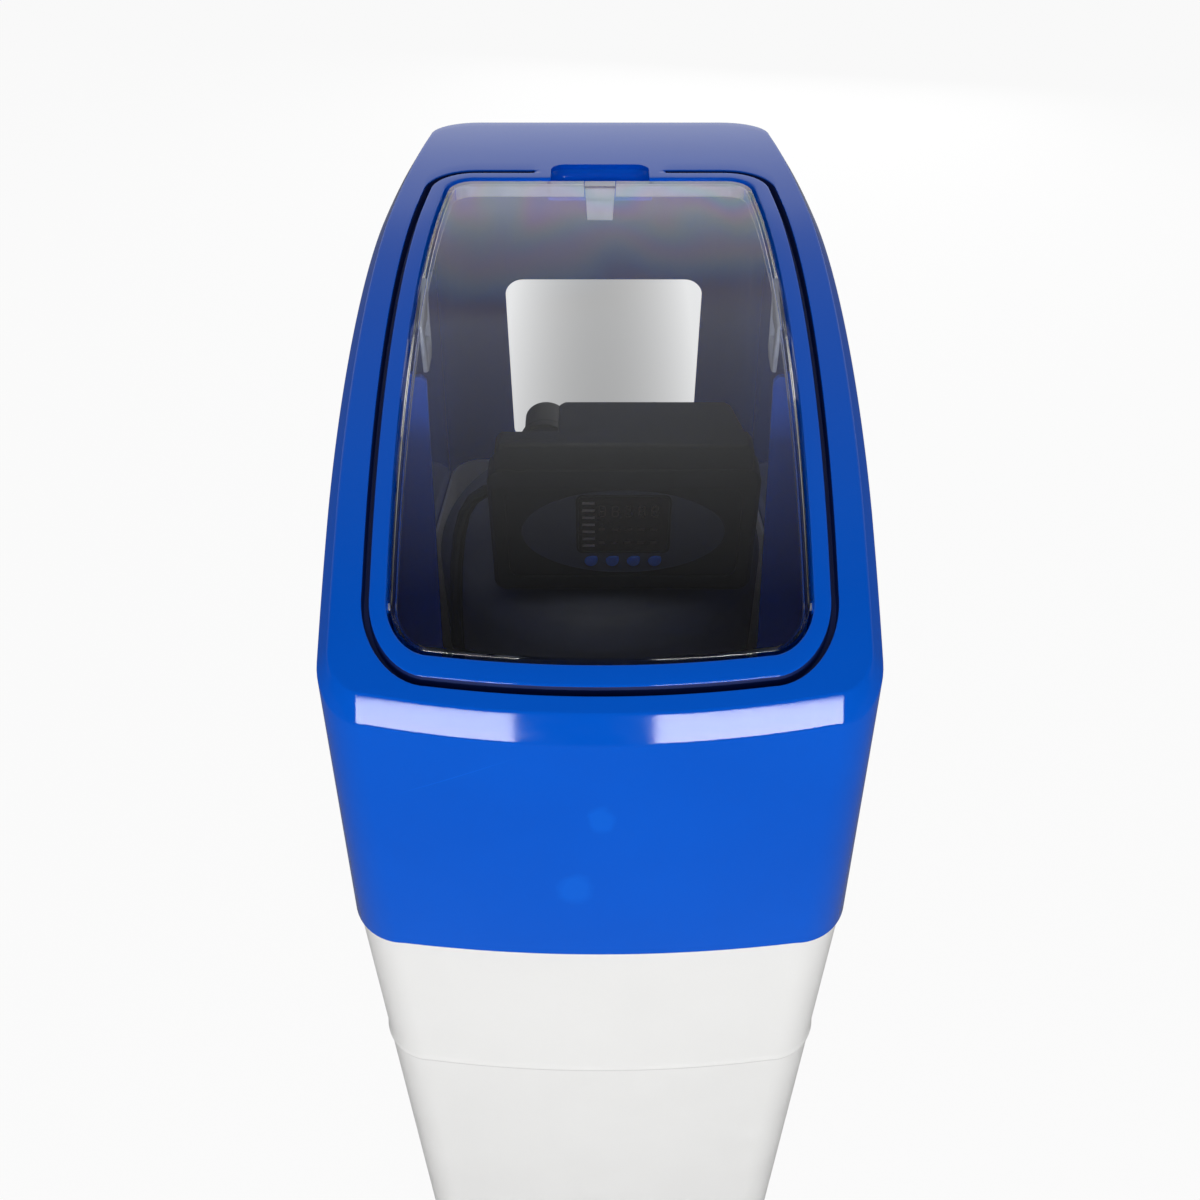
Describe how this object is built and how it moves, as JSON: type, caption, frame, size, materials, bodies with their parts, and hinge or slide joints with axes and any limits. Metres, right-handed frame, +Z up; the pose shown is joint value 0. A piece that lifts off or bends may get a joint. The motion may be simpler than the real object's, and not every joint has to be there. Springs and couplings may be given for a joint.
{
  "type": "cabinet water softener",
  "caption": "Free-standing cabinet water softener: white cabinet, gloss blue hood with a clear hinged lid, resin tank and electronic control valve inside.",
  "frame": {"origin": "on the floor, under the middle of the body's 320 x 500 mm footprint", "axes": "+X to the viewer's right, +Y from the front to the back, +Z up"},
  "size_m": [0.32, 0.5275, 1.14],
  "materials": {
    "white_cabinet": "satin moulded polyethylene",
    "blue_hood": "gloss moulded ABS",
    "clear_lid": "clear moulded polycarbonate",
    "steel": "zinc plated",
    "valve_black": "fine spark texture",
    "panel_slate": "satin",
    "display_smoke": "gloss",
    "key_blue": "gloss",
    "board_green": "lacquered",
    "nylon": "moulded",
    "ceramic_white": "lapped",
    "ceramic_grey": "lapped",
    "rubber": "moulded",
    "tank_grey": "wound glass fibre over a liner",
    "white_plastic": "moulded",
    "resin_amber": "wet beads"
  },
  "bodies": {
    "housing": {"cabinet": "white_cabinet", "hood": "blue_hood", "hood_screws": "steel", "lid_pivot_sockets": "blue_hood", "valve_cover": "valve_black", "valve_gear_housing": "valve_black", "front_panel": "panel_slate", "display_window": "display_smoke", "circuit_board": "board_green", "cover_screws": "steel", "motor": "steel", "fixed_disc": "ceramic_grey", "valve_body": "valve_black", "neck_ring": "rubber", "injector_cover": "valve_black", "injector_screws": "steel", "pipe_seals": "rubber", "pipe_collars": "steel", "drain_fitting": "valve_black", "brine_fitting": "valve_black", "brine_tube": "valve_black", "power_socket": "valve_black", "resin_tank": "tank_grey", "tank_boot": "valve_black", "riser_tube": "white_plastic", "top_basket": "white_plastic", "bottom_basket": "white_plastic", "resin_bed": "resin_amber", "brine_well": "white_plastic", "safety_valve": "white_plastic", "overflow_elbow": "valve_black", "overflow_nut": "valve_black", "overflow_gasket": "rubber"},
    "lid": {"lid": "clear_lid", "lid_pivot_pins": "clear_lid"},
    "latch": {"lid_latch": "clear_lid"},
    "key_1": {"key_1": "key_blue"},
    "key_2": {"key_2": "key_blue"},
    "key_3": {"key_3": "key_blue"},
    "key_4": {"key_4": "key_blue"},
    "pinion": {"motor_pinion": "nylon"},
    "gear": {"drive_gear": "nylon", "moving_disc": "ceramic_white"},
    "turbine": {"flow_turbine": "nylon"},
    "cap": {"brine_well_cap": "white_plastic"},
    "float": {"float_rod": "white_plastic", "safety_float": "white_plastic"}
  },
  "joints": [
    {"name": "lid_hinge", "type": "hinge", "parent": "housing", "child": "lid", "pos_m": [0, -0.184, 1.03836], "axis": [1, 0, 0], "range_deg": [0, 95]},
    {"name": "latch_flex", "type": "hinge", "parent": "lid", "child": "latch", "pos_m": [0, 0.0983, 1.13637], "axis": [-1, 0, 0], "range_deg": [0, 6], "stiffness_Nm_per_rad": 0.4},
    {"name": "key_1_press", "type": "slide", "parent": "housing", "child": "key_1", "axis": [0, 1, 0], "range_m": [0, 0.001], "stiffness_N_per_m": 300},
    {"name": "key_2_press", "type": "slide", "parent": "housing", "child": "key_2", "axis": [0, 1, 0], "range_m": [0, 0.001], "stiffness_N_per_m": 300},
    {"name": "key_3_press", "type": "slide", "parent": "housing", "child": "key_3", "axis": [0, 1, 0], "range_m": [0, 0.001], "stiffness_N_per_m": 300},
    {"name": "key_4_press", "type": "slide", "parent": "housing", "child": "key_4", "axis": [0, 1, 0], "range_m": [0, 0.001], "stiffness_N_per_m": 300},
    {"name": "gear_turn", "type": "hinge", "parent": "housing", "child": "gear", "pos_m": [0.016, 0.024, 0.9465], "axis": [0, 1, 0], "continuous": true},
    {"name": "pinion_turn", "type": "hinge", "parent": "housing", "child": "pinion", "pos_m": [0.061, 0.024, 0.9465], "axis": [0, 1, 0], "continuous": true},
    {"name": "turbine_turn", "type": "hinge", "parent": "housing", "child": "turbine", "pos_m": [0.042, 0.13, 0.925], "axis": [0, 1, 0], "continuous": true},
    {"name": "cap_lift", "type": "slide", "parent": "housing", "child": "cap", "axis": [0, 0, 1], "range_m": [0, 0.02]},
    {"name": "float_slide", "type": "slide", "parent": "housing", "child": "float", "axis": [0, 0, 1], "range_m": [0, 0.04]}
  ],
  "couplings": [
    {"joint": "pinion_turn", "follows": "gear_turn", "ratio": -4}
  ]
}
